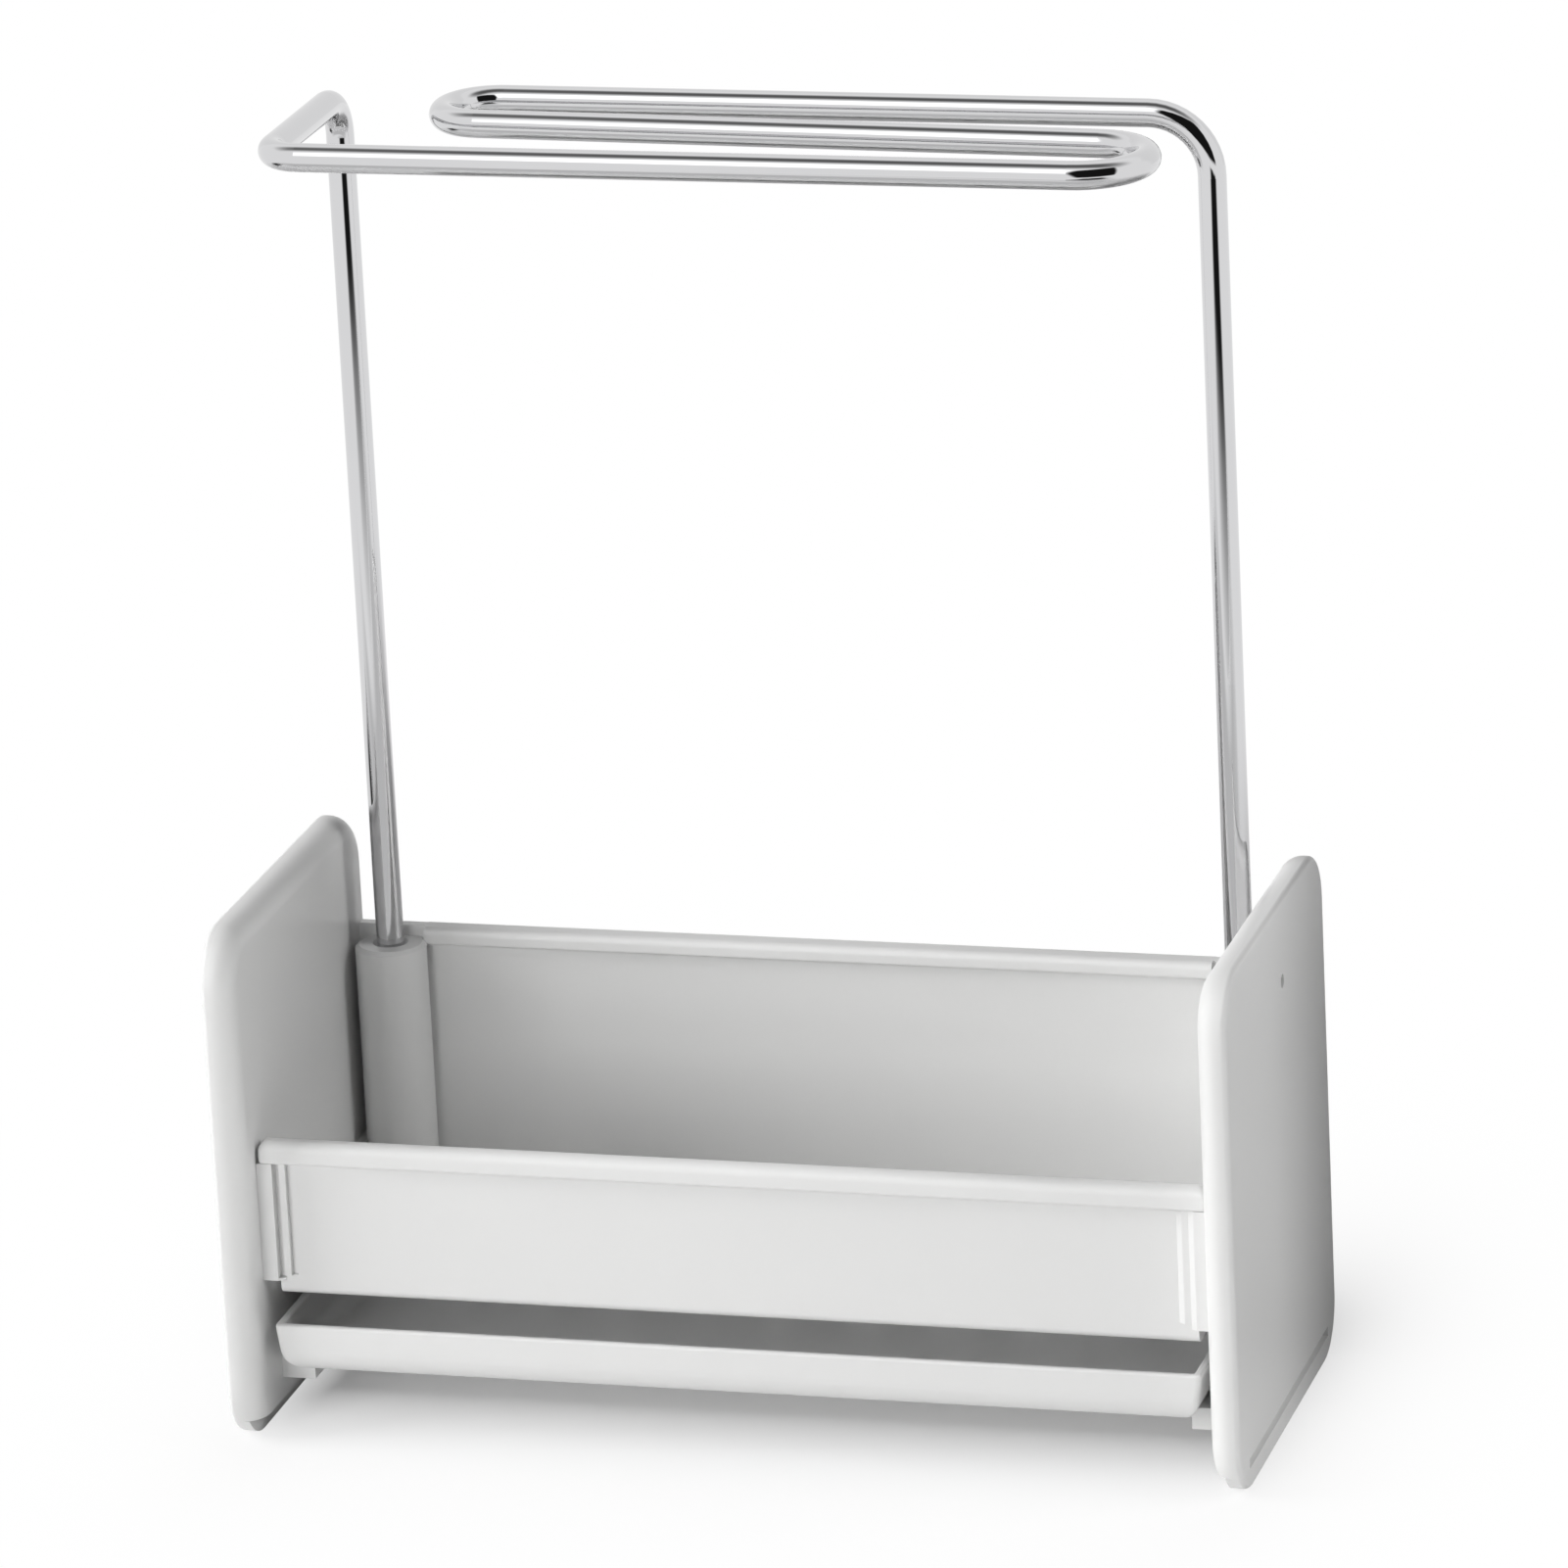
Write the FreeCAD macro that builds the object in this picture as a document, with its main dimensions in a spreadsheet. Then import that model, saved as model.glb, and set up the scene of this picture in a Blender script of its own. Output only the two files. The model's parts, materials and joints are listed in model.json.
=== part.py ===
import FreeCAD, Part
import math
import os
import re
import Sketcher

# Kitchen sink caddy: two end panels on foot strips carry a trough, a pull-out drip tray on ledges
# and a bent wire rack that stands in two columns of the trough.
# X runs to the right, the front is towards -Y and Z is up. The origin is at the bottom centre.

SIZES = {
    # End panels
    "overall_width": 220.0,
    "panel_thickness": 6.8,
    "panel_depth": 93.2,
    "panel_height": 114.0,
    "panel_corner_radius": 12.0,
    "panel_inner_rounding": 4.8,
    "panel_outer_rounding": 1.2,
    "panel_edge_flat": 0.6,
    "dimple_diameter": 3.0,
    "dimple_depth": 1.4,
    "dimple_below_top": 17.3,
    "dimple_behind_middle": 6.2,
    # Foot strips, with a tongue that plugs into the panel above
    "foot_height": 5.0,
    "foot_inset": 3.0,
    "foot_groove_height": 2.2,
    "foot_groove_depth": 1.2,
    "foot_groove_length": 76.0,
    "tongue_inset": 0.6,
    "tongue_width": 1.5,
    "tongue_height": 4.0,
    "tongue_length": 60.0,
    # Ledges on the panels that the drip tray slides on
    "ledge_top": 14.4,
    "ledge_thickness": 2.2,
    "ledge_support": 1.0,
    "ledge_setback": 17.2,
    "ledge_rib_width": 7.3,
    "ledge_rib_height": 2.6,
    "ledge_stop_height": 5.0,
    "ledge_stop_thickness": 2.4,
    # Drip tray
    "tray_side_gap": 2.4,
    "tray_front_setback": 6.4,
    "tray_back_setback": 6.4,
    "tray_height": 11.3,
    "tray_wall": 1.8,
    "tray_end_taper": 1.6,
    "tray_bottom_rounding": 6.0,
    "tray_corner_rounding": 1.2,
    "tray_rim_rounding": 0.6,
    # Trough
    "trough_above_tray": 5.7,
    "trough_wall": 2.4,
    "trough_floor": 2.5,
    "trough_front_setback": 10.2,
    "trough_back_setback": 5.8,
    "trough_front_height": 34.8,
    "trough_back_height": 57.5,
    "trough_side_gap": 0.6,
    "trough_bottom_rounding": 1.8,
    "trough_inner_rounding": 3.0,
    "lip_height": 5.0,
    "lip_front_overhang": 2.0,
    "lip_back_overhang": 0.6,
    "lip_end_rounding": 0.8,
    "lip_rounding": 2.2,
    "lip_under_rounding": 0.8,
    "rim_height": 3.8,
    "rim_front_overhang": 2.0,
    "rim_back_overhang": 1.6,
    "rim_rounding": 1.7,
    "rim_under_rounding": 0.8,
    "rim_past_column": 1.0,
    "end_wall_thickness": 2.3,
    "end_wall_above_screw": 4.4,
    "end_wall_setback": 8.0,
    # Moulded strips at both ends of the trough's front wall, raised in two sloping steps, grooved on the left
    "end_strip_width": 3.4,
    "end_strip_foot": 3.5,
    "step_height": 0.8,
    "step_slope_width": 1.3,
    "step_flat_width": 1.4,
    "step_foot": 4.5,
    "groove_depth": 0.6,
    # Drain slots in the trough floor
    "drain_width": 5.0,
    "drain_length": 24.0,
    "drain_pitch": 18.0,
    # Columns of the trough that hold the wire
    "column_radius": 7.75,
    "column_side_gap": 1.15,
    "column_proud": 0.95,
    "column_drop": 2.5,
    "column_chamfer": 0.8,
    "socket_floor": 10.0,
    "socket_chamfer": 0.8,
    # Wire rack
    "wire_diameter": 6.0,
    "rack_height": 278.3,
    "rack_reach": 51.0,
    "right_bend_radius": 13.0,
    "left_bend_radius": 8.5,
    "front_corner_radius": 7.5,
    "right_turn_radius": 12.8,
    "left_turn_radius": 10.3,
    "right_turn_inset": 4.7,
    "left_turn_inset": 26.9,
    "wire_end_chamfer": 0.8,
    # Screws from the trough's end walls into the panels
    "screw_diameter": 3.0,
    "screw_cover": 2.2,
    "screw_head_diameter": 5.6,
    "screw_head_height": 2.0,
    "screw_rounding": 0.7,
    "screw_head_gap": 0.8,
    "screw_point": 0.8,
    "screw_front_margin": 8.4,
    "screw_back_margin": 6.25,
    "driver_slot_width": 0.9,
    "driver_slot_length": 3.2,
    "driver_slot_depth": 1.0,
    # Fits and cuts
    "fit_clearance": 0.05,
    "slide_clearance": 0.1,
    "cut_overrun": 2.0,
}

# The largest part of a wall that a rounding may take up
ROUNDING_SHARE = 0.45

# How closely two places agree when edges are picked out for rounding
SAME_PLACE = 0.001

doc = FreeCAD.newDocument("sink_caddy")
sheet = doc.addObject("Spreadsheet::Sheet", "size")
for row, (name, value) in enumerate(SIZES.items(), start=1):
    sheet.set(f"A{row}", name)
    sheet.set(f"B{row}", str(value))
    sheet.setAlias(f"B{row}", name)
doc.recompute()

# Places that several pieces share, as expressions in the sheet's names
OUTER_FACE = "overall_width / 2"
INNER_FACE = f"({OUTER_FACE} - panel_thickness)"
PANEL_FRONT = "(-panel_depth / 2)"
PANEL_BACK = "(panel_depth / 2)"
INNER_ROUNDING = "min(panel_inner_rounding; panel_thickness - panel_outer_rounding - panel_edge_flat)"
TRAY_BOTTOM = "(ledge_top + slide_clearance)"
TRAY_FRONT = f"({PANEL_FRONT} + tray_front_setback)"
TRAY_BACK = f"({PANEL_BACK} - tray_back_setback)"
TRAY_END = f"({INNER_FACE} - tray_side_gap)"
TROUGH_BOTTOM = f"({TRAY_BOTTOM} + tray_height + trough_above_tray)"
TROUGH_FRONT = f"({PANEL_FRONT} + trough_front_setback)"
TROUGH_BACK = f"({PANEL_BACK} - trough_back_setback)"
TROUGH_END = f"({INNER_FACE} - trough_side_gap)"
TROUGH_FLOOR = f"({TROUGH_BOTTOM} + trough_floor)"
LIP_TOP = f"({TROUGH_BOTTOM} + trough_front_height)"
LIP_BOTTOM = f"({LIP_TOP} - lip_height)"
RIM_TOP = f"({TROUGH_BOTTOM} + trough_back_height)"
COLUMN_X = f"({INNER_FACE} - column_side_gap - column_radius)"
COLUMN_Y = f"({TROUGH_BACK} + column_proud - column_radius)"
COLUMN_TOP = f"({RIM_TOP} - column_drop)"
SOCKET_BOTTOM = f"({TROUGH_BOTTOM} + socket_floor)"
LEDGE_END = f"({TRAY_END} - tray_end_taper - tray_bottom_rounding - ledge_support)"
LEDGE_BACK = f"({TRAY_BACK} + slide_clearance + ledge_stop_thickness)"
SCREW_Z = f"({TROUGH_FLOOR} + screw_head_gap + screw_head_diameter / 2)"
SCREW_SEAT = f"({INNER_FACE} - end_wall_thickness)"
SCREW_TIP = f"({OUTER_FACE} - screw_cover)"
END_WALL_FRONT = f"({TROUGH_FRONT} + end_wall_setback)"
SCREW_PLACES = (
    f"({END_WALL_FRONT} + screw_front_margin)",
    f"({COLUMN_Y} - column_radius - screw_back_margin)",
)


def in_sheet(expression):
    """Point every name of an expression at its cell."""
    return re.sub(r"\b([a-z]\w+)\b(?!\()", r"size.\1", expression)


def value_of(expression):
    """The present value of an expression, in millimetres."""
    return float(sheet.evalExpression(in_sheet(expression)))


def bind(feature, **expressions):
    """Drive a feature's sizes, and its place by the keys x, y and z."""
    for key, expression in expressions.items():
        path = f"Placement.Base.{key}" if key in ("x", "y", "z") else key
        feature.setExpression(path, in_sheet(expression))


def limited(rounding, *walls):
    """A rounding that never takes up more than its share of the walls that carry it."""
    return f"min({'; '.join([rounding] + [f'({wall}) * {ROUNDING_SHARE}' for wall in walls])})"


def new_body(label):
    body = doc.addObject("PartDesign::Body", label)
    body.Label = label
    return body


def block(body, name, x, y, z, cut=False):
    """A box between two places on each axis, added to the body or cut from it."""
    kind = "PartDesign::SubtractiveBox" if cut else "PartDesign::AdditiveBox"
    feature = body.newObject(kind, name)
    bind(
        feature,
        x=x[0],
        y=y[0],
        z=z[0],
        Length=f"{x[1]} - ({x[0]})",
        Width=f"{y[1]} - ({y[0]})",
        Height=f"{z[1]} - ({z[0]})",
    )
    return feature


def wedge(body, name, near_x, far_x, length, depth, cut=False):
    """A bar whose stretch along X changes from its near to its far side. Its place is set by the caller."""
    kind = "PartDesign::SubtractiveWedge" if cut else "PartDesign::AdditiveWedge"
    feature = body.newObject(kind, name)
    feature.Ymin = feature.Zmin = feature.Z2min = 0
    bind(feature, Xmin=near_x[0], Xmax=near_x[1], X2min=far_x[0], X2max=far_x[1])
    bind(feature, Ymax=length, Zmax=depth, Z2max=depth)
    return feature


def flared_block(body, name, reach, y, z, cut=False):
    """A box about the middle, whose half width grows from the lower to the upper of two reaches."""
    stretches = [(f"-({half})", half) for half in reach]
    feature = wedge(body, name, *stretches, f"{z[1]} - ({z[0]})", f"{y[1]} - ({y[0]})", cut)
    feature.Placement.Rotation = FreeCAD.Rotation(FreeCAD.Vector(1, 0, 0), 90)
    bind(feature, y=y[1], z=z[0])
    return feature


def cylinder(body, name, x, y, z, radius, length, along_x=False, cut=False):
    """A round bar from a centre point, upwards or towards +X."""
    kind = "PartDesign::SubtractiveCylinder" if cut else "PartDesign::AdditiveCylinder"
    feature = body.newObject(kind, name)
    if along_x:
        feature.Placement.Rotation = FreeCAD.Rotation(FreeCAD.Vector(0, 1, 0), 90)
    bind(feature, x=x, y=y, z=z, Radius=radius, Height=length)
    return feature


def edges_where(feature, wanted):
    """Names of the edges of a feature whose bounding box passes the test."""
    doc.recompute()
    edges = feature.Shape.Edges
    return [f"Edge{number}" for number, edge in enumerate(edges, start=1) if wanted(edge.BoundBox)]


def soften(body, name, wanted, radius, chamfer=False):
    """Round or chamfer the edges of the body's last feature that pass the test."""
    last = body.Tip
    feature = body.newObject("PartDesign::Chamfer" if chamfer else "PartDesign::Fillet", name)
    feature.Base = (last, edges_where(last, wanted))
    bind(feature, **{"Size" if chamfer else "Radius": radius})
    return feature


def near(first, second):
    """True where two lengths agree."""
    return abs(first - second) < SAME_PLACE


def lies_at(place, low, high):
    """True where an edge lies wholly in the plane at a place along one axis."""
    return near(low, place) and near(high, place)


def rounded_plate(body, name, x):
    """A plate with the end panel's outline, between two places along X."""
    plane = [item for item in body.Origin.OriginFeatures if item.Role == "YZ_Plane"][0]
    sketch = body.newObject("Sketcher::SketchObject", f"{name}_outline")
    sketch.AttachmentSupport = (plane, [""])
    sketch.MapMode = "FlatFace"
    sketch.setExpression("AttachmentOffset.Base.z", in_sheet(x[0]))

    radius = value_of("panel_corner_radius")
    back = value_of(PANEL_BACK)
    top = value_of("panel_height")
    centres = [(back - radius, radius), (back - radius, top - radius)]
    centres += [(radius - back, top - radius), (radius - back, radius)]
    quarter = math.pi / 2
    for turn, (y, z) in enumerate(centres, start=-1):
        circle = Part.Circle(FreeCAD.Vector(y, z, 0), FreeCAD.Vector(0, 0, 1), radius)
        arc = Part.ArcOfCircle(circle, turn * quarter, (turn + 1) * quarter)
        sketch.addGeometry(arc, False)
    for arc in range(4):
        start = sketch.getPoint(arc, 2)
        end = sketch.getPoint((arc + 1) % 4, 1)
        line = sketch.addGeometry(Part.LineSegment(start, end), False)
        sketch.addConstraint(Sketcher.Constraint("Tangent", arc, 2, line, 1))
        sketch.addConstraint(Sketcher.Constraint("Tangent", line, 2, (arc + 1) % 4, 1))
        sketch.addConstraint(Sketcher.Constraint("Horizontal" if arc % 2 else "Vertical", line))
        if arc:
            sketch.addConstraint(Sketcher.Constraint("Equal", 0, arc))
    sizes = [
        (Sketcher.Constraint("Radius", 0, radius), "panel_corner_radius"),
        (Sketcher.Constraint("DistanceX", 4, 1, back), PANEL_BACK),
        (Sketcher.Constraint("DistanceY", 5, 1, top), "panel_height"),
        (Sketcher.Constraint("DistanceX", 6, 1, -back), PANEL_FRONT),
    ]
    for constraint, expression in sizes:
        number = sketch.addConstraint(constraint)
        sketch.setExpression(f"Constraints[{number}]", in_sheet(expression))
    sketch.addConstraint(Sketcher.Constraint("PointOnObject", 7, 1, -1))

    pad = body.newObject("PartDesign::Pad", name)
    pad.Profile = sketch
    bind(pad, Length=f"{x[1]} - ({x[0]})")
    return pad


def right_end_panel():
    """Rounded plate with a tray ledge inside, a shadow groove below and a blind moulding dimple."""
    body = new_body("right_end_panel")
    inner = value_of(INNER_FACE)
    outer = value_of(OUTER_FACE)
    rounded_plate(body, "panel_plate", (INNER_FACE, OUTER_FACE))
    soften(body, "panel_inner_edge", lambda b: lies_at(inner, b.XMin, b.XMax), INNER_ROUNDING)
    soften(body, "panel_outer_edge", lambda b: lies_at(outer, b.XMin, b.XMax), "panel_outer_rounding")
    across = (f"{INNER_FACE} - cut_overrun", f"{OUTER_FACE} + cut_overrun")
    along = (f"{PANEL_FRONT} - cut_overrun", f"{PANEL_BACK} + cut_overrun")
    block(body, "foot_room", across, along, ("-cut_overrun", "foot_height"), cut=True)
    block(
        body,
        "shadow_groove",
        (f"{OUTER_FACE} - foot_groove_depth", f"{OUTER_FACE} + cut_overrun"),
        ("-foot_groove_length / 2", "foot_groove_length / 2"),
        ("foot_height - cut_overrun", "foot_height + foot_groove_height"),
        cut=True,
    )
    block(body, "tongue_slot", *tongue_place("fit_clearance"), cut=True)
    ledge_across = (LEDGE_END, f"{INNER_FACE} + panel_thickness / 2")
    block(
        body,
        "ledge",
        ledge_across,
        (f"{PANEL_FRONT} + ledge_setback", LEDGE_BACK),
        ("ledge_top - ledge_thickness", "ledge_top"),
    )
    block(
        body,
        "ledge_rib",
        (f"{INNER_FACE} - ledge_rib_width", f"{INNER_FACE} + panel_thickness / 2"),
        (f"{PANEL_FRONT} + ledge_setback", LEDGE_BACK),
        ("ledge_top - ledge_thickness - ledge_rib_height", "ledge_top - ledge_thickness"),
    )
    block(
        body,
        "ledge_stop",
        ledge_across,
        (f"{LEDGE_BACK} - ledge_stop_thickness", LEDGE_BACK),
        ("ledge_top - ledge_thickness", "ledge_top + ledge_stop_height"),
    )
    cylinder(
        body,
        "dimple",
        f"{OUTER_FACE} - dimple_depth",
        "dimple_behind_middle",
        "panel_height - dimple_below_top",
        "dimple_diameter / 2",
        "dimple_depth + cut_overrun",
        along_x=True,
        cut=True,
    )
    for number, place in enumerate(SCREW_PLACES, start=1):
        cylinder(
            body,
            f"screw_pilot_{number}",
            f"{INNER_FACE} - cut_overrun",
            place,
            SCREW_Z,
            "screw_diameter / 2 + fit_clearance",
            f"{SCREW_TIP} + fit_clearance - {INNER_FACE} + cut_overrun",
            along_x=True,
            cut=True,
        )
    return body


def tongue_place(clearance="0"):
    """Where the foot strip's tongue stands in the panel, with a clearance all round."""
    inner_side = f"({INNER_FACE} + foot_inset + tongue_inset)"
    half_length = f"(tongue_length / 2 + {clearance})"
    return (
        (f"{inner_side} - {clearance}", f"{inner_side} + tongue_width + {clearance}"),
        (f"-{half_length}", half_length),
        ("foot_height / 2", f"foot_height + tongue_height + {clearance}"),
    )


def right_foot_strip():
    """The bottom slice of the panel's outline, set in a little on the inner side."""
    body = new_body("right_foot_strip")
    outer = value_of(OUTER_FACE)
    rounded_plate(body, "foot_plate", (f"({INNER_FACE} + foot_inset)", OUTER_FACE))
    soften(body, "foot_outer_edge", lambda b: lies_at(outer, b.XMin, b.XMax), "panel_outer_rounding")
    across = (f"{INNER_FACE} - cut_overrun", f"{OUTER_FACE} + cut_overrun")
    along = (f"{PANEL_FRONT} - cut_overrun", f"{PANEL_BACK} + cut_overrun")
    block(body, "foot_top", across, along, ("foot_height", "panel_height + cut_overrun"), cut=True)
    block(body, "tongue", *tongue_place())
    return body


def drip_tray():
    """Shallow open tray with flared ends and curved lower edges."""
    body = new_body("drip_tray")
    bottom = value_of(TRAY_BOTTOM)
    floor = value_of(f"{TRAY_BOTTOM} + tray_wall")
    top = value_of(f"{TRAY_BOTTOM} + tray_height")
    floor_reach = f"{TRAY_END} - tray_end_taper"
    flared_block(
        body,
        "tray_block",
        (floor_reach, TRAY_END),
        (TRAY_FRONT, TRAY_BACK),
        (TRAY_BOTTOM, f"{TRAY_BOTTOM} + tray_height"),
    )
    flared_block(
        body,
        "tray_hollow",
        (f"{floor_reach} - tray_wall", f"{TRAY_END} - tray_wall"),
        (f"{TRAY_FRONT} + tray_wall", f"{TRAY_BACK} - tray_wall"),
        (f"{TRAY_BOTTOM} + tray_wall", f"{TRAY_BOTTOM} + tray_height"),
        cut=True,
    )
    ends = value_of(TRAY_END)
    sides = [value_of(TRAY_FRONT), value_of(TRAY_BACK)]

    def is_outer_corner(box):
        """The upright corner edges, which reach the tray's ends. The curves below follow on from them."""
        at_end = near(box.XMax, ends) or near(box.XMin, -ends)
        at_side = near(box.YMin, sides[0]) or near(box.YMax, sides[1])
        return at_end and at_side and max(box.XLength, box.YLength) < value_of("tray_height")

    inner_rounding = "tray_bottom_rounding - tray_wall"
    soften(body, "tray_inner_edge", lambda b: lies_at(floor, b.ZMin, b.ZMax), inner_rounding)
    soften(body, "tray_lower_edge", lambda b: lies_at(bottom, b.ZMin, b.ZMax), "tray_bottom_rounding")
    soften(body, "tray_corners", is_outer_corner, "tray_corner_rounding")
    rim_rounding = limited("tray_rim_rounding", "tray_wall")
    soften(body, "tray_rim", lambda b: lies_at(top, b.ZMin, b.ZMax), rim_rounding)
    return body


def trough():
    """Open box with a front lip, a rimmed back wall, two wire columns and a slotted floor."""
    body = new_body("trough")
    whole = (f"-{TROUGH_END}", TROUGH_END)
    wall_in = (f"{TROUGH_FRONT} + trough_wall", f"{TROUGH_BACK} - trough_wall")
    block(body, "floor", whole, (TROUGH_FRONT, TROUGH_BACK), (TROUGH_BOTTOM, TROUGH_FLOOR))
    block(body, "front_wall", whole, (TROUGH_FRONT, wall_in[0]), (TROUGH_BOTTOM, LIP_TOP))
    block(body, "back_wall", whole, (wall_in[1], TROUGH_BACK), (TROUGH_BOTTOM, RIM_TOP))
    levels = (
        ("trough_inner_edge", TROUGH_FLOOR, wall_in, "trough_inner_rounding"),
        ("trough_lower_edge", TROUGH_BOTTOM, (TROUGH_FRONT, TROUGH_BACK), "trough_bottom_rounding"),
    )
    for name, level, places, rounding in levels:
        soften(body, name, lengthwise([level], places), rounding)
    trough_lip(body, whole)
    trough_rim(body)
    for side, sign in (("left", "-"), ("right", "")):
        trough_end(body, side, sign, wall_in)
        column(body, side, sign)
    drain_slots(body)
    return body


def lengthwise(levels, places):
    """A test for edges along X at one of the given levels and one of the given places along Y."""
    heights = [value_of(level) for level in levels]
    depths = [value_of(place) for place in places]

    def wanted(box):
        level = any(lies_at(height, box.ZMin, box.ZMax) for height in heights)
        return level and any(lies_at(depth, box.YMin, box.YMax) for depth in depths)

    return wanted


def span(sign, start, end):
    """A stretch along X at the right end of the trough, or mirrored to the left end."""
    return (f"-({end})", f"-({start})") if sign else (start, end)


def trough_end(body, side, sign, wall_in):
    """Low screwed end wall, an open lower front corner and the stepped strip of the front wall."""
    strip = f"({INNER_FACE} - end_strip_width)"
    strip_root = f"({strip} - step_slope_width)"
    step = f"({strip_root} - step_flat_width)"
    step_root = f"({step} - step_slope_width)"
    step_face = f"({TROUGH_FRONT} - step_height)"
    block(
        body,
        f"{side}_end_wall",
        span(sign, SCREW_SEAT, INNER_FACE),
        (END_WALL_FRONT, wall_in[1]),
        (TROUGH_BOTTOM, f"{SCREW_Z} + end_wall_above_screw"),
    )
    block(
        body,
        f"{side}_corner_notch",
        span(sign, strip, f"{INNER_FACE} + cut_overrun"),
        (f"{TROUGH_FRONT} - cut_overrun", END_WALL_FRONT),
        (f"{TROUGH_BOTTOM} - cut_overrun", f"{TROUGH_BOTTOM} + end_strip_foot"),
        cut=True,
    )
    block(
        body,
        f"{side}_end_post",
        span(sign, strip_root, INNER_FACE),
        (step_face, f"{TROUGH_FRONT} + trough_wall / 2"),
        (f"{TROUGH_BOTTOM} + end_strip_foot", LIP_BOTTOM),
    )
    steps = (
        ("step", step, step_root, step_face, "step_foot"),
        ("strip", strip, strip_root, f"({step_face} - step_height)", "end_strip_foot"),
    )
    for name, top, root, face, foot in steps:
        stretches = [span(sign, start, INNER_FACE) for start in (top, root)]
        rise = f"{LIP_BOTTOM} - {TROUGH_BOTTOM} - {foot}"
        feature = wedge(body, f"{side}_end_{name}", *stretches, "step_height", rise)
        bind(feature, y=face, z=f"{TROUGH_BOTTOM} + {foot}")
    for name, top, root, face, foot in steps if side == "left" else ():
        block(
            body,
            f"{side}_{name}_groove",
            span(sign, root, top),
            (f"{face} - cut_overrun", f"{TROUGH_FRONT} + groove_depth"),
            (f"{TROUGH_BOTTOM} + ({foot} + step_foot) / 2", LIP_BOTTOM),
            cut=True,
        )
    for number, place in enumerate(SCREW_PLACES, start=1):
        cylinder(
            body,
            f"{side}_screw_hole_{number}",
            span(sign, f"{SCREW_SEAT} - cut_overrun", f"{INNER_FACE} + cut_overrun")[0],
            place,
            SCREW_Z,
            "screw_diameter / 2 + fit_clearance",
            "end_wall_thickness + cut_overrun * 2",
            along_x=True,
            cut=True,
        )


def trough_lip(body, whole):
    """Rounded bead along the top of the front wall."""
    depth = "lip_front_overhang + trough_wall + lip_back_overhang"
    y = (f"{TROUGH_FRONT} - lip_front_overhang", f"{TROUGH_FRONT} - lip_front_overhang + {depth}")
    block(body, "lip", whole, y, (LIP_BOTTOM, LIP_TOP))
    front = value_of(y[0])
    upright = value_of("lip_height")

    def is_end_corner(box):
        return lies_at(front, box.YMin, box.YMax) and near(box.ZLength, upright)

    soften(body, "lip_ends", is_end_corner, limited("lip_end_rounding", depth))
    soften(body, "lip_edges", lengthwise([LIP_TOP], y), limited("lip_rounding", depth, "lip_height"))
    under = limited("lip_under_rounding", "lip_front_overhang", "lip_height")
    soften(body, "lip_under_edge", lengthwise([LIP_BOTTOM], y[:1]), under)


def trough_rim(body):
    """Thick rounded rim on the back wall, which ends at the two columns."""
    end = f"({COLUMN_X} - column_radius + rim_past_column)"
    y = (f"{TROUGH_BACK} - trough_wall - rim_front_overhang", f"{TROUGH_BACK} + rim_back_overhang")
    z = (f"{RIM_TOP} - rim_height", RIM_TOP)
    block(body, "rim", (f"-{end}", end), y, z)
    soften(body, "rim_edges", lengthwise(z[1:], y), limited("rim_rounding", "rim_height"))
    under = limited("rim_under_rounding", "rim_front_overhang", "rim_back_overhang", "rim_height")
    soften(body, "rim_under_edges", lengthwise(z[:1], y), under)


def round_edge(level, radius):
    """A test for whole circles at a level, about the height axis."""
    height = value_of(level)
    across = value_of(f"({radius}) * 2")

    def wanted(box):
        whole_circle = near(box.XLength, across) and near(box.YLength, across)
        return whole_circle and lies_at(height, box.ZMin, box.ZMax)

    return wanted


def column(body, side, sign):
    """Round column with a blind socket for one upright of the wire."""
    x = f"{sign}{COLUMN_X}"
    bore = "wire_diameter / 2 + fit_clearance"
    shoulder = f"({COLUMN_TOP} - column_chamfer)"
    height = f"{shoulder} - {TROUGH_BOTTOM}"
    cylinder(body, f"{side}_column", x, COLUMN_Y, TROUGH_BOTTOM, "column_radius", height)
    edge = body.newObject("PartDesign::AdditiveCone", f"{side}_column_edge")
    bind(edge, x=x, y=COLUMN_Y, z=shoulder, Height="column_chamfer")
    bind(edge, Radius1="column_radius", Radius2="column_radius - column_chamfer")
    depth = f"{COLUMN_TOP} - {SOCKET_BOTTOM} + cut_overrun"
    cylinder(body, f"{side}_socket", x, COLUMN_Y, SOCKET_BOTTOM, bore, depth, cut=True)
    mouth = limited("socket_chamfer", f"column_radius - ({bore})")
    soften(body, f"{side}_socket_mouth", round_edge(COLUMN_TOP, bore), mouth, chamfer=True)


def drain_slots(body):
    """A row of slots in the floor that lets water fall into the tray."""
    middle = f"(({TROUGH_FRONT} + {TROUGH_BACK}) / 2)"
    y = (f"{middle} - drain_length / 2", f"{middle} + drain_length / 2")
    count = int(value_of(f"2 * ({COLUMN_X} - column_radius) / drain_pitch"))
    for number in range(count):
        centre = f"({number - (count - 1) / 2} * drain_pitch)"
        block(
            body,
            f"drain_slot_{number + 1}",
            (f"{centre} - drain_width / 2", f"{centre} + drain_width / 2"),
            y,
            (f"{TROUGH_BOTTOM} - cut_overrun", f"{TROUGH_FLOOR} + cut_overrun"),
            cut=True,
        )
    ends = [value_of(place) for place in y]
    thickness = value_of("trough_floor")

    def is_slot_corner(box):
        return near(box.ZLength, thickness) and any(lies_at(end, box.YMin, box.YMax) for end in ends)

    soften(body, "drain_corners", is_slot_corner, limited("drain_width", "drain_width"))


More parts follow.
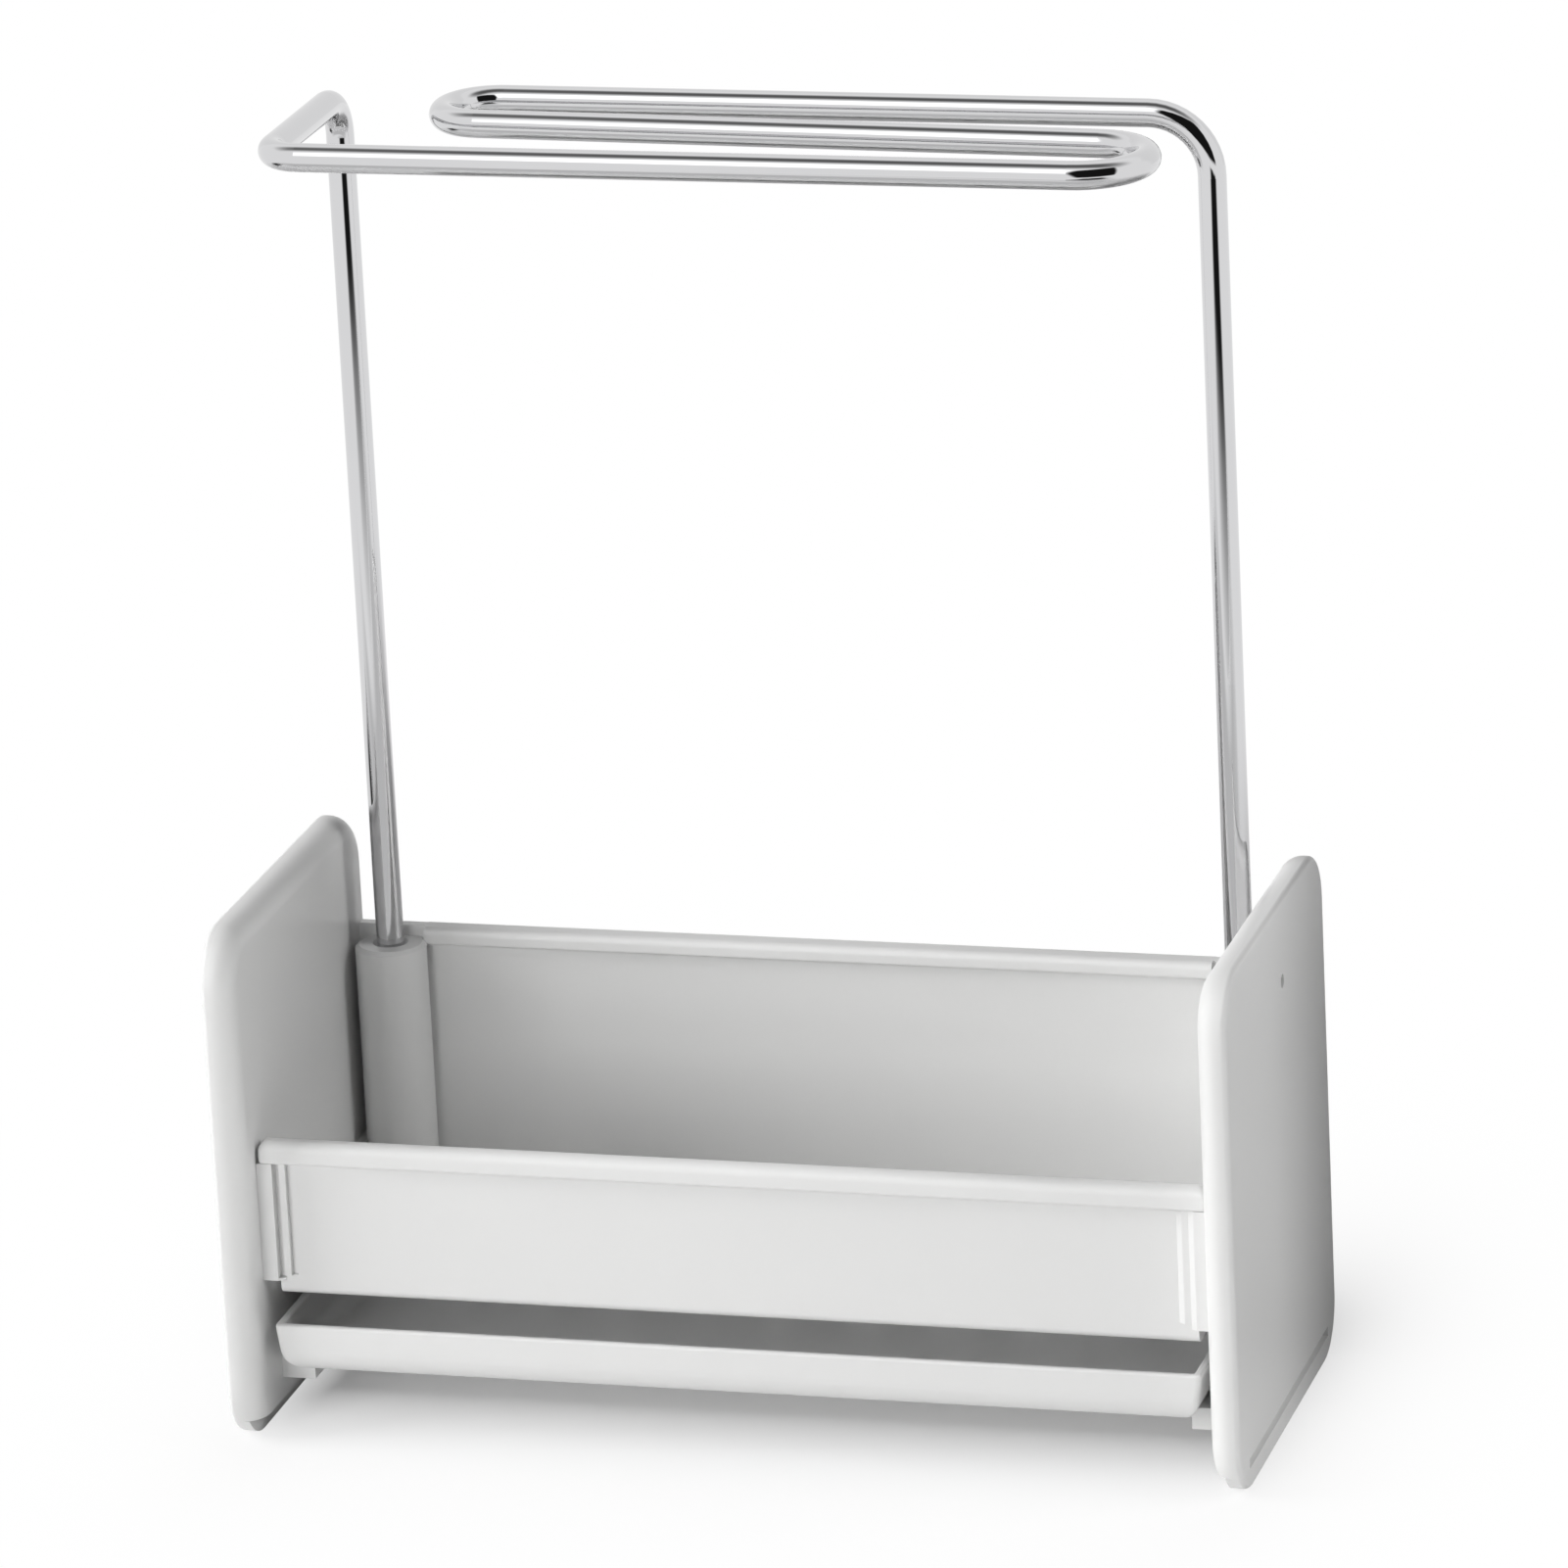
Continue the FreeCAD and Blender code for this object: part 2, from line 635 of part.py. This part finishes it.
def screw(number, place):
    """Round-headed screw along X, with a crossed driver recess."""
    body = new_body(f"screw_{number}")
    tip = value_of(SCREW_TIP)
    face = f"({SCREW_SEAT} - screw_head_height)"
    face_x = value_of(face)
    shank = f"{SCREW_TIP} - {SCREW_SEAT}"
    cylinder(body, "shank", SCREW_SEAT, place, SCREW_Z, "screw_diameter / 2", shank, along_x=True)
    sizes = ("screw_head_diameter / 2", "screw_head_height")
    cylinder(body, "head", face, place, SCREW_Z, *sizes, along_x=True)
    head_edge = limited("screw_rounding", "screw_head_height")
    soften(body, "head_edge", lambda b: lies_at(face_x, b.XMin, b.XMax), head_edge)
    point = limited("screw_point", "screw_diameter / 2")
    soften(body, "point", lambda b: lies_at(tip, b.XMin, b.XMax), point, chamfer=True)
    for name, across, upright in (("flat", "length", "width"), ("upright", "width", "length")):
        block(
            body,
            f"driver_slot_{name}",
            (f"{face} - cut_overrun", f"{face} + driver_slot_depth"),
            (f"{place} - driver_slot_{across} / 2", f"{place} + driver_slot_{across} / 2"),
            (f"{SCREW_Z} - driver_slot_{upright} / 2", f"{SCREW_Z} + driver_slot_{upright} / 2"),
            cut=True,
        )
    return body


def right_panel_screws():
    """The two screws at the right end, as one group."""
    group = doc.addObject("Part::Compound", "right_panel_screws")
    group.Links = [screw(number, place) for number, place in enumerate(SCREW_PLACES, start=1)]
    return group


def arc_edge(start, middle, end):
    return Part.Arc(start, middle, end).toShape()


def wire_rack():
    """One round wire: left upright, left return, front, middle and back rails, right upright."""
    radius = value_of("wire_diameter / 2")
    x = value_of(COLUMN_X)
    back = value_of(COLUMN_Y)
    front = back - value_of("rack_reach")
    top = value_of("rack_height") - radius
    foot = value_of(SOCKET_BOTTOM)
    left_bend = value_of("left_bend_radius")
    corner = value_of("front_corner_radius")
    right_turn = value_of("right_turn_radius")
    left_turn = value_of("left_turn_radius")
    right_bend = value_of("right_bend_radius")
    point = FreeCAD.Vector
    right_centre = point(x - value_of("right_turn_inset") - right_turn, front + right_turn, top)
    left_centre = point(value_of("left_turn_inset") - x + left_turn, back - left_turn, top)

    # The middle rail is the line that touches both turns, so it lies slightly askew.
    apart = left_centre - right_centre
    skew = math.atan2(apart.y, -apart.x) - math.asin((right_turn + left_turn) / apart.Length)
    square = point(math.sin(skew), math.cos(skew), 0)
    outward = point(math.cos(skew / 2), -math.sin(skew / 2), 0)

    # Half way round a square bend, the wire has left its first run by this share of the radius.
    rise_share = 1 - math.sqrt(1 / 2)
    up_left = point(-x, back, top - left_bend)
    bent_left = point(-x, back - left_bend * rise_share, top - left_bend * rise_share)
    return_back = point(-x, back - left_bend, top)
    return_front = point(-x, front + corner, top)
    corner_middle = point(-x + corner * rise_share, front + corner * rise_share, top)
    front_left = point(-x + corner, front, top)
    front_right = point(right_centre.x, front, top)
    middle_right = right_centre + square * right_turn
    middle_left = left_centre - square * left_turn
    back_left = point(left_centre.x, back, top)
    back_right = point(x - right_bend, back, top)
    bent_right = point(x - right_bend * rise_share, back, top - right_bend * rise_share)
    down_right = point(x, back, top - right_bend)
    edges = [
        Part.makeLine(point(-x, back, foot), up_left),
        arc_edge(up_left, bent_left, return_back),
        Part.makeLine(return_back, return_front),
        arc_edge(return_front, corner_middle, front_left),
        Part.makeLine(front_left, front_right),
        arc_edge(front_right, right_centre + outward * right_turn, middle_right),
        Part.makeLine(middle_right, middle_left),
        arc_edge(middle_left, left_centre - outward * left_turn, back_left),
        Part.makeLine(back_left, back_right),
        arc_edge(back_right, bent_right, down_right),
        Part.makeLine(down_right, point(x, back, foot)),
    ]
    path = Part.Wire(edges)
    section = Part.Wire(Part.makeCircle(radius, point(-x, back, foot), point(0, 0, 1)))
    tube = path.makePipeShell([section], True, False)
    ends = [edge for edge in tube.Edges if lies_at(foot, edge.BoundBox.ZMin, edge.BoundBox.ZMax)]
    rack = doc.addObject("Part::Feature", "wire_rack")
    rack.Shape = tube.makeChamfer(value_of("wire_end_chamfer"), ends)
    plain_volume = path.Length * math.pi * radius**2
    print("wire length", round(path.Length, 1), "volume share", round(tube.Volume / plain_volume, 6))
    return rack


def mirrored(source, label):
    """The same piece for the left end."""
    copy = doc.addObject("Part::Mirroring", label)
    copy.Source = source
    copy.Normal = FreeCAD.Vector(1, 0, 0)
    copy.Label = label
    return copy


pieces = [right_end_panel(), right_foot_strip(), right_panel_screws()]
pieces += [mirrored(piece, piece.Label.replace("right", "left")) for piece in pieces[:3]]
pieces += [trough(), drip_tray(), wire_rack()]
doc.recompute()

for item in doc.Objects:
    if "Invalid" in item.State or "Error" in item.State:
        raise RuntimeError(f"{item.Label} failed: {item.State}")
for piece in pieces:
    if piece.Shape.isNull() or not piece.Shape.isValid():
        raise RuntimeError(f"{piece.Label} has no valid shape")

os.makedirs("parts", exist_ok=True)
for piece in pieces:
    piece.Shape.exportStep(f"parts/{piece.Label}.step")
    print(piece.Label, len(piece.Shape.Solids), round(piece.Shape.Volume, 1))
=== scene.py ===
import json
import math

import bpy
from mathutils import Matrix, Vector

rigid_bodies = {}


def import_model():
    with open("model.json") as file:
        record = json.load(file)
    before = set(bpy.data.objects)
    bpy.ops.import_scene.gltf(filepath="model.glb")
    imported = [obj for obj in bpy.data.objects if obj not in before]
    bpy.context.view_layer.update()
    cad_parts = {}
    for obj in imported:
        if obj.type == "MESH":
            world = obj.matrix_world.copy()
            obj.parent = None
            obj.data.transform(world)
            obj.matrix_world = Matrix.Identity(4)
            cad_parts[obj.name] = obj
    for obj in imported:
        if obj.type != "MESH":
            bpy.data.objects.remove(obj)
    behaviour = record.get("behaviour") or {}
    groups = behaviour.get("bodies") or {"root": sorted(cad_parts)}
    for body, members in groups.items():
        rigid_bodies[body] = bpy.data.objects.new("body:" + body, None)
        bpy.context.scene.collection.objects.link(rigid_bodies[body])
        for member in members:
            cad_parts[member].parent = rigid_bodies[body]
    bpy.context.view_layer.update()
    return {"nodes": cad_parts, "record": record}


# An empty file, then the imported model
for leftover in list(bpy.data.objects):
    bpy.data.objects.remove(leftover)

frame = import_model()
nodes = frame["nodes"]

# Units and view: a long lens from the front right, a little above, with the horizon tipped slightly
MM = 0.001
PHOTO_PIXELS = 1601
FOCAL_PIXELS = 10142
SENSOR_WIDTH = 36
VIEW_AZIMUTH = 16.11
VIEW_ELEVATION = 18.06
VIEW_ROLL = math.radians(-2.82)
VIEW_DISTANCE = 2079 * MM
VIEW_TARGET = Vector((5.9 * MM, 0, 137.7 * MM))

# Tones, as linear shares of full white
PANEL_GREY = (0.79, 0.79, 0.785, 1)
TROUGH_GREY = (0.8, 0.8, 0.795, 1)
TRAY_GREY = (0.8, 0.8, 0.795, 1)
FOOT_GREY = (0.78, 0.78, 0.775, 1)
CHROME_GREY = (0.67, 0.67, 0.68, 1)
STEEL_GREY = (0.58, 0.58, 0.57, 1)
WHITE = (1, 1, 1, 1)
BLACK = (0, 0, 0, 1)
FLOOR_WHITE = (0.9, 0.9, 0.9, 1)
FLAG_BLACK = (0.01, 0.01, 0.01, 1)

# Moulded plastic: roughness of each piece, share of the clouding, and patterns in cells per metre
PANEL_ROUGHNESS = 0.33
TROUGH_ROUGHNESS = 0.35
TRAY_ROUGHNESS = 0.35
FOOT_ROUGHNESS = 0.45
ROUGHNESS_SPREAD = 0.03
PLASTIC_IOR = 1.46
CLOUDING = 0.02
CLOUD_SCALE = 18.0
CLOUD_SHARE = 0.8
SPECKLE_SCALE = 700.0
SPECKLE_SHARE = 0.2
GRAIN_SCALE = 2200.0
GRAIN_DEPTH = 0.003 * MM

# Bright plating: haze of the shine and long ripples along the wire
HAZE = 0.03
HAZE_SCALE = 90.0
RIPPLE_SCALE = 60.0
RIPPLE_DEPTH = 0.02 * MM

# Floor: the box that the shadow keeps its depth in, and how it fades outside, across and along
FLOOR_SIZE = (12, 12)
FLOOR_ROUGHNESS = 0.9
SHADOW_CENTRE = (0, 18 * MM)
SHADOW_HALF_SIZE = (98 * MM, 28 * MM)
SHADOW_FADE = (12 * MM, 27 * MM)
SHADOW_DEPTH = 0.83

# Distances from that box over which the mirrored floor turns white
MIRRORED_FLOOR = (0.2, 0.45)
METRES = (1, 1)

# Cards around the wire rack: name, azimuth, elevation, distance, size, tone, edge share
RACK_MIDDLE = Vector((0, 10 * MM, 275 * MM))
STANDING_CARDS = (
    ("dark_ceiling", 0, 89, 1.4, (4.0, 1.5), 0.12, 0.42),
    ("bright_back", 180, 15, 1.6, (5.0, 2.4), 0.92, 0.2),
    ("bright_front", -17, 42, 1.5, (0.8, 1.05), 2.0, 0.3),
    ("dark_room", 32, 26, 1.4, (1.85, 1.7), 0.01, 0.1),
)

# Cards on the floor: name, centre, turn, size, front and back tone, where these blend, edge share
CARD_LIFT = 2 * MM
WHOLE = (0, 1)
FLOOR_CARDS = (
    ("dark_table_end", (0.44, -0.86), 30, (0.92, 1.3), (0.01, 0.6), (0.6, 0.85), 0.22),
    ("grey_table", (0, -0.3), 0, (1.2, 0.3), (0.66, 0.66), WHOLE, 0.3),
    ("dark_left", (-0.42, -0.12), 0, (0.22, 0.3), (0.05, 0.05), WHOLE, 0.3),
)

# Black flag that keeps the right lamp off the back of the right panel
FLAG_CENTRE = (0.21, 0.182, 0.18)
FLAG_SIZE = (0.36, 0.3)
FLAG_TURN = (0, math.radians(90), 0)

# Lamps: name, azimuth, elevation and level, where 1 shows a white surface that faces the lamp as white
LAMP_AIM = Vector((0, 0, 60 * MM))
LAMP_DISTANCE = 2.2
LAMP_SIZE = 1.2
SOFTBOXES = (
    ("key_softbox", -72, 31, 0.82),
    ("front_softbox", -16, 17, 0.445),
    ("right_softbox", 93, 32, 0.48),
    ("back_softbox", -165, 10, 0.26),
)


# Node helpers

def add_node(tree, kind, inputs=None, **settings):
    """A node with its settings and unlinked input values."""
    node = tree.nodes.new(kind)
    for name, value in settings.items():
        setattr(node, name, value)
    for name, value in (inputs or {}).items():
        node.inputs[name].default_value = value
    return node


def calculate(tree, operation, *values):
    """A sum on one to three values, each a number or another node's output."""
    node = add_node(tree, "ShaderNodeMath", operation=operation)
    for socket, value in zip(node.inputs, values):
        if isinstance(value, bpy.types.NodeSocket):
            tree.links.new(value, socket)
        else:
            socket.default_value = value
    return node.outputs[0]


def noise(tree, place, **inputs):
    """A noise pattern on the object's own coordinates."""
    labels = {label.capitalize(): value for label, value in inputs.items()}
    texture = add_node(tree, "ShaderNodeTexNoise", labels)
    tree.links.new(place.outputs["Object"], texture.inputs["Vector"])
    return texture


def darkened(tree, share, tint):
    """A tint with a share of black mixed in."""
    mix = add_node(tree, "ShaderNodeMix", {"B": BLACK}, data_type="RGBA", blend_type="MULTIPLY")
    tree.links.new(share, mix.inputs["Factor"])
    tree.links.new(tint, mix.inputs["A"])
    return mix.outputs["Result"]


def new_group(name, inputs, outputs):
    """A shader node group with named sockets, given as name: (socket type, default)."""
    tree = bpy.data.node_groups.new(name, "ShaderNodeTree")
    for label, (kind, default) in inputs.items():
        socket = tree.interface.new_socket(label, in_out="INPUT", socket_type=kind)
        socket.default_value = default
    for label, kind in outputs.items():
        tree.interface.new_socket(label, in_out="OUTPUT", socket_type=kind)
    return tree, add_node(tree, "NodeGroupInput"), add_node(tree, "NodeGroupOutput")


def place_group(tree, group, **inputs):
    """One use of a node group in a material."""
    node = add_node(tree, "ShaderNodeGroup", node_tree=group)
    for label, value in inputs.items():
        node.inputs[label.capitalize()].default_value = value
    return node


def new_material(name):
    """A material with a bare Principled shader, and its tree and shader."""
    material = bpy.data.materials.new(name)
    material.use_nodes = True
    shader = material.node_tree.nodes["Principled BSDF"]
    return material, material.node_tree, shader


# Shared surface effects

SKIN_OUTPUTS = {"Color": "NodeSocketColor", "Roughness": "NodeSocketFloat", "Height": "NodeSocketFloat"}


def moulded_skin_group():
    """Faint clouding of the colour, uneven roughness and fine grain, as on moulded plastic."""
    inputs = {
        "Tint": ("NodeSocketColor", WHITE),
        "Clouding": ("NodeSocketFloat", CLOUDING),
        "Roughness": ("NodeSocketFloat", PANEL_ROUGHNESS),
        "Roughness spread": ("NodeSocketFloat", ROUGHNESS_SPREAD),
        "Grain scale": ("NodeSocketFloat", GRAIN_SCALE),
    }
    tree, start, end = new_group("moulded_skin", inputs, SKIN_OUTPUTS)
    link = tree.links.new
    place = add_node(tree, "ShaderNodeTexCoord")
    clouds = noise(tree, place, scale=CLOUD_SCALE, detail=0.0).outputs["Fac"]
    speckle = noise(tree, place, scale=SPECKLE_SCALE, detail=2.0).outputs["Fac"]
    grain = noise(tree, place, detail=3.0, roughness=0.6)
    link(start.outputs["Grain scale"], grain.inputs["Scale"])
    link(grain.outputs["Fac"], end.inputs["Height"])

    fine = calculate(tree, "MULTIPLY", speckle, SPECKLE_SHARE)
    uneven = calculate(tree, "MULTIPLY_ADD", clouds, CLOUD_SHARE, fine)
    depth = calculate(tree, "MULTIPLY", uneven, start.outputs["Clouding"])
    link(darkened(tree, depth, start.outputs["Tint"]), end.inputs["Color"])

    limits = (start.outputs["Roughness"], start.outputs["Roughness spread"])
    shine = add_node(tree, "ShaderNodeMapRange")
    link(clouds, shine.inputs["Value"])
    link(calculate(tree, "SUBTRACT", *limits), shine.inputs["To Min"])
    link(calculate(tree, "ADD", *limits), shine.inputs["To Max"])
    link(shine.outputs["Result"], end.inputs["Roughness"])
    return tree


def plated_skin_group():
    """Slight ripples and haze of a bright plated wire."""
    inputs = {
        "Tint": ("NodeSocketColor", WHITE),
        "Haze": ("NodeSocketFloat", HAZE),
        "Ripple scale": ("NodeSocketFloat", RIPPLE_SCALE),
    }
    tree, start, end = new_group("plated_skin", inputs, SKIN_OUTPUTS)
    link = tree.links.new
    place = add_node(tree, "ShaderNodeTexCoord")
    haze = noise(tree, place, scale=HAZE_SCALE, detail=5.0).outputs["Fac"]
    ripple = noise(tree, place, detail=1.0)
    link(start.outputs["Ripple scale"], ripple.inputs["Scale"])
    link(ripple.outputs["Fac"], end.inputs["Height"])
    spread = calculate(tree, "MULTIPLY", haze, start.outputs["Haze"])
    link(spread, end.inputs["Roughness"])
    link(darkened(tree, spread, start.outputs["Tint"]), end.inputs["Color"])
    return tree


MOULDED_SKIN = moulded_skin_group()
PLATED_SKIN = plated_skin_group()


# Materials

def skinned(name, group, bump_depth, **inputs):
    """A material whose colour, roughness and fine relief come from one of the shared effects."""
    material, tree, shader = new_material(name)
    link = tree.links.new
    skin = place_group(tree, group, **inputs)
    bump = add_node(tree, "ShaderNodeBump", {"Distance": bump_depth})
    link(skin.outputs["Color"], shader.inputs["Base Color"])
    link(skin.outputs["Roughness"], shader.inputs["Roughness"])
    link(skin.outputs["Height"], bump.inputs["Height"])
    link(bump.outputs["Normal"], shader.inputs["Normal"])
    return material, shader


def moulded_plastic(name, tint, roughness):
    """Pale plastic with the moulded skin."""
    material, shader = skinned(name, MOULDED_SKIN, GRAIN_DEPTH, tint=tint, roughness=roughness)
    shader.inputs["IOR"].default_value = PLASTIC_IOR
    return material


def bright_plating(name, tint):
    """Bare metal with the plated skin."""
    material, shader = skinned(name, PLATED_SKIN, RIPPLE_DEPTH, tint=tint)
    shader.inputs["Metallic"].default_value = 1
    return material


FINISHES = {
    "panel_plastic": moulded_plastic("panel_plastic_moulded", PANEL_GREY, PANEL_ROUGHNESS),
    "trough_plastic": moulded_plastic("trough_plastic_moulded", TROUGH_GREY, TROUGH_ROUGHNESS),
    "tray_plastic": moulded_plastic("tray_plastic_moulded", TRAY_GREY, TRAY_ROUGHNESS),
    "foot_plastic": moulded_plastic("foot_plastic_moulded", FOOT_GREY, FOOT_ROUGHNESS),
    "wire_chrome": bright_plating("wire_chrome_plated", CHROME_GREY),
    "screw_steel": bright_plating("screw_steel_plated", STEEL_GREY),
}

for part in frame["record"]["subparts"]:
    nodes[part["node"]].data.materials[0] = FINISHES[part["material_slot"]]


# Stage: a pale floor that takes the shadow, and cards that only reflections show

def direction(azimuth, elevation):
    """Unit vector from the object, with azimuth 0 at the front and positive to the right, in degrees."""
    around = math.radians(azimuth)
    rise = math.radians(elevation)
    level = math.cos(rise)
    return Vector((math.sin(around) * level, -math.cos(around) * level, math.sin(rise)))


def facing(towards):
    """The turn that points a sheet or a lamp back along a direction."""
    return towards.to_track_quat("Z", "Y").to_euler()


def hide_from(item, *rays):
    """Keeps an item out of the named kinds of rays."""
    for ray in rays:
        setattr(item, f"visible_{ray}", False)


def stage_plane(name, centre, size, material, turn=(0, 0, 0)):
    """A flat sheet of the stage, with its place and size in its mesh."""
    bpy.ops.object.select_all(action="DESELECT")
    bpy.ops.mesh.primitive_plane_add(size=1, location=centre, rotation=turn)
    plane = bpy.context.object
    plane.name = name
    plane.scale = (*size, 1)
    bpy.ops.object.transform_apply(location=True, rotation=True, scale=True)
    plane.data.materials.append(material)
    return plane


def rays_seen(tree):
    """Two switches: 1 for what the camera sees directly or through glass, and 1 for what a mirror shows."""
    path = add_node(tree, "ShaderNodeLightPath")
    direct = calculate(tree, "MAXIMUM", path.outputs["Is Camera Ray"], path.outputs["Is Transmission Ray"])
    return direct, path.outputs["Is Glossy Ray"]


def split_place(tree, output):
    """The separate coordinates of one of the texture coordinates."""
    place = add_node(tree, "ShaderNodeTexCoord")
    split = add_node(tree, "ShaderNodeSeparateXYZ")
    tree.links.new(place.outputs[output], split.inputs[0])
    return split.outputs


def away_from_box(tree, centre, half_size, units):
    """Level distance from a box on the floor, 0 inside it, counted in one unit across and one along."""
    place = split_place(tree, "Object")
    squares = []
    for axis, middle, half, unit in zip("XY", centre, half_size, units):
        offset = calculate(tree, "ABSOLUTE", calculate(tree, "SUBTRACT", place[axis], middle))
        outside = calculate(tree, "MAXIMUM", calculate(tree, "SUBTRACT", offset, half), 0)
        squares.append(calculate(tree, "POWER", calculate(tree, "DIVIDE", outside, unit), 2))
    return calculate(tree, "SQRT", calculate(tree, "ADD", *squares))


def smooth_step(tree, value, start, end, low=0, high=1):
    """A value that eases from low to high between two limits."""
    limits = {"From Min": start, "From Max": end, "To Min": low, "To Max": high}
    step = add_node(tree, "ShaderNodeMapRange", limits, interpolation_type="SMOOTHSTEP")
    tree.links.new(value, step.inputs["Value"])
    return step.outputs["Result"]


def mix_surfaces(tree, share, first, second):
    """The material's surface, mixed from two shaders."""
    mix = add_node(tree, "ShaderNodeMixShader")
    tree.links.new(share, mix.inputs["Fac"])
    tree.links.new(first.outputs[0], mix.inputs[1])
    tree.links.new(second.outputs[0], mix.inputs[2])
    tree.links.new(mix.outputs["Shader"], tree.nodes["Material Output"].inputs["Surface"])


def floor_material():
    """Matt white that takes the shadow near the object and turns to plain white further off."""
    material, tree, shader = new_material("floor_white")
    shader.inputs["Base Color"].default_value = FLOOR_WHITE
    shader.inputs["Roughness"].default_value = FLOOR_ROUGHNESS
    shader.inputs["Specular IOR Level"].default_value = 0
    fades = away_from_box(tree, SHADOW_CENTRE, SHADOW_HALF_SIZE, SHADOW_FADE)
    decay = calculate(tree, "EXPONENT", calculate(tree, "MULTIPLY", fades, -1))
    near_white = calculate(tree, "SUBTRACT", 1, calculate(tree, "MULTIPLY", decay, SHADOW_DEPTH))
    away = away_from_box(tree, SHADOW_CENTRE, SHADOW_HALF_SIZE, METRES)
    far_white = smooth_step(tree, away, *MIRRORED_FLOOR)
    direct, mirrored = rays_seen(tree)
    direct_share = calculate(tree, "MULTIPLY", near_white, direct)
    mirrored_share = calculate(tree, "MULTIPLY", far_white, mirrored)
    glow = add_node(tree, "ShaderNodeEmission", {"Color": WHITE, "Strength": 1})
    mix_surfaces(tree, calculate(tree, "MAXIMUM", direct_share, mirrored_share), shader, glow)
    return material


def card_material(name, tones, blend, edge):
    """A sheet of even or graded tone whose borders fade out."""
    material, tree, shader = new_material(name)
    tree.nodes.remove(shader)
    place = split_place(tree, "UV")
    middle = 0.5
    covers = []
    for axis in "XY":
        off_middle = calculate(tree, "ABSOLUTE", calculate(tree, "SUBTRACT", place[axis], middle))
        covers.append(smooth_step(tree, off_middle, middle, middle - edge))
    glow = add_node(tree, "ShaderNodeEmission", {"Color": WHITE})
    tree.links.new(smooth_step(tree, place["Y"], *blend, *tones), glow.inputs["Strength"])
    clear = add_node(tree, "ShaderNodeBsdfTransparent")
    mix_surfaces(tree, calculate(tree, "MULTIPLY", *covers), clear, glow)
    return material


def reflected_card(name, centre, turn, size, tones, blend, edge):
    """A sheet that lights nothing and shows only in reflections."""
    card = stage_plane(name, centre, size, card_material(name, tones, blend, edge), turn)
    hide_from(card, "camera", "diffuse", "transmission", "volume_scatter", "shadow")


def standing_card(name, azimuth, elevation, distance, size, tone, edge):
    """A reflected card that faces the wire rack."""
    towards = direction(azimuth, elevation)
    centre = RACK_MIDDLE + towards * distance
    reflected_card(name, centre, facing(towards), size, (tone, tone), WHOLE, edge)


def floor_card(name, centre, turn, size, tones, blend, edge):
    """A reflected card that lies on the floor."""
    reflected_card(name, (*centre, CARD_LIFT), (0, 0, math.radians(turn)), size, tones, blend, edge)


stage_plane("floor", (0, 0, 0), FLOOR_SIZE, floor_material())
for card in STANDING_CARDS:
    standing_card(*card)
for card in FLOOR_CARDS:
    floor_card(*card)

flag_material, _, flag_shader = new_material("flag_black")
flag_shader.inputs["Base Color"].default_value = FLAG_BLACK
flag = stage_plane("flag", FLAG_CENTRE, FLAG_SIZE, flag_material, FLAG_TURN)
hide_from(flag, "camera", "glossy", "transmission")


# Light

def softbox(name, azimuth, elevation, level):
    """A square lamp that gives the named level at the object."""
    lamp = bpy.data.lights.new(name, "AREA")
    lamp.size = LAMP_SIZE
    lamp.energy = level * math.pi**2 * LAMP_DISTANCE**2
    holder = bpy.data.objects.new(name, lamp)
    bpy.context.scene.collection.objects.link(holder)
    towards = direction(azimuth, elevation)
    holder.location = LAMP_AIM + towards * LAMP_DISTANCE
    holder.rotation_euler = facing(towards)
    hide_from(holder, "glossy")


for box in SOFTBOXES:
    softbox(*box)

world = bpy.data.worlds.new("white_studio")
bpy.context.scene.world = world
world.use_nodes = True
sky = world.node_tree.nodes["Background"]
sky.inputs["Color"].default_value = WHITE
seen = calculate(world.node_tree, "MAXIMUM", *rays_seen(world.node_tree))
world.node_tree.links.new(seen, sky.inputs["Strength"])

# Camera
back = direction(VIEW_AZIMUTH, VIEW_ELEVATION)
level_right = Vector((0, 0, 1)).cross(back).normalized()
level_up = back.cross(level_right)
right = math.cos(VIEW_ROLL) * level_right + math.sin(VIEW_ROLL) * level_up
up = math.cos(VIEW_ROLL) * level_up - math.sin(VIEW_ROLL) * level_right
lens = bpy.data.cameras.new("photo_view")
lens.sensor_width = SENSOR_WIDTH
lens.lens = SENSOR_WIDTH * FOCAL_PIXELS / PHOTO_PIXELS
camera = bpy.data.objects.new("photo_view", lens)
bpy.context.scene.collection.objects.link(camera)
camera_turn = Matrix((right, up, back)).transposed().to_4x4()
camera.matrix_world = Matrix.Translation(VIEW_TARGET + back * VIEW_DISTANCE) @ camera_turn
bpy.context.scene.camera = camera
bpy.context.scene.view_settings.view_transform = "Standard"
